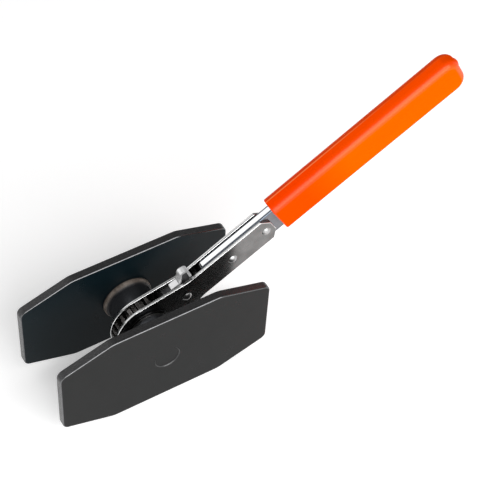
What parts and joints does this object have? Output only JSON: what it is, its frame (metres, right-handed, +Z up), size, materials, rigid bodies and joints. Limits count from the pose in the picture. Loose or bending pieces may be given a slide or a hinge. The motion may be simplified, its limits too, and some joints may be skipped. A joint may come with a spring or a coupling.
{
  "type": "ratcheting brake piston spreader",
  "caption": "Hand tool with two parallel steel plates that a ratchet handle drives apart on a double-ended screw, for pressing brake pistons back.",
  "frame": {"origin": "centre of the front plate's outer pressing face, on the screw's axis", "axes": "+X along the plates towards the handle, +Y along the screw from the front plate to the rear plate, +Z up with the tool standing on the plates' lower edges"},
  "size_m": [0.2641, 0.0533, 0.1553],
  "materials": {
    "black_plate": "satin black coat over ground steel",
    "boss_steel": "turned steel under the plates' black coat",
    "weld_metal": "heat-tinted weld, dull",
    "washer_steel": "ground, oiled",
    "wheel_steel": "hardened, milled teeth, oiled",
    "screw_steel": "rolled thread, oiled",
    "spring_steel": "drawn wire and strip",
    "side_plate_zinc": "zinc plated, dull faces with a faint grain, bright rims",
    "bar_zinc": "zinc plated, bright rims",
    "rivet_steel": "plated, hammered heads",
    "pawl_steel": "hardened, oiled",
    "tab_steel": "bright plated strip",
    "plunger_steel": "polished",
    "orange_vinyl": "soft glossy dipped vinyl"
  },
  "bodies": {
    "front_jaw": {"front_plate": "black_plate", "front_boss": "boss_steel", "front_weld": "weld_metal"},
    "rear_jaw": {"rear_plate": "black_plate", "rear_boss": "boss_steel", "rear_weld": "weld_metal"},
    "washers": {"front_thrust_washer": "washer_steel", "rear_thrust_washer": "washer_steel"},
    "screw": {"drive_screw": "screw_steel", "ratchet_wheel": "wheel_steel", "wheel_key": "screw_steel", "front_stop_ring": "spring_steel", "rear_stop_ring": "spring_steel"},
    "handle": {"front_side_plate": "side_plate_zinc", "rear_side_plate": "side_plate_zinc", "handle_bar": "bar_zinc", "grip": "orange_vinyl", "pawl_rivet": "rivet_steel", "middle_rivet": "rivet_steel", "tail_rivet": "rivet_steel"},
    "pawl": {"pawl": "pawl_steel", "thumb_tab": "tab_steel"},
    "detent": {"detent_plunger": "plunger_steel", "detent_spring": "spring_steel"}
  },
  "joints": [
    {"name": "head_travel", "type": "slide", "parent": "front_jaw", "child": "washers", "axis": [0, 1, 0], "range_m": [0, 0.012]},
    {"name": "rear_jaw_travel", "type": "slide", "parent": "washers", "child": "rear_jaw", "axis": [0, 1, 0], "range_m": [0, 0.012]},
    {"name": "screw_turn", "type": "hinge", "parent": "washers", "child": "screw", "pos_m": [0, 0.02665, 0], "axis": [0, 1, 0], "range_deg": [0, 1080]},
    {"name": "handle_swing", "type": "hinge", "parent": "washers", "child": "handle", "pos_m": [0, 0.02665, 0], "axis": [0, -1, 0], "continuous": true},
    {"name": "pawl_flip", "type": "hinge", "parent": "handle", "child": "pawl", "pos_m": [0.02476, 0.02665, 0.01412], "axis": [0, 1, 0], "range_deg": [-12, 12]},
    {"name": "detent_press", "type": "slide", "parent": "handle", "child": "detent", "axis": [0.8686, 0, 0.4955], "range_m": [-0.00035, 0.001], "stiffness_N_per_m": 800, "springref_m": -0.003}
  ],
  "couplings": [
    {"joint": "screw_turn", "follows": "head_travel", "rad_per_m": 1570.8},
    {"joint": "rear_jaw_travel", "follows": "head_travel", "ratio": 1}
  ]
}
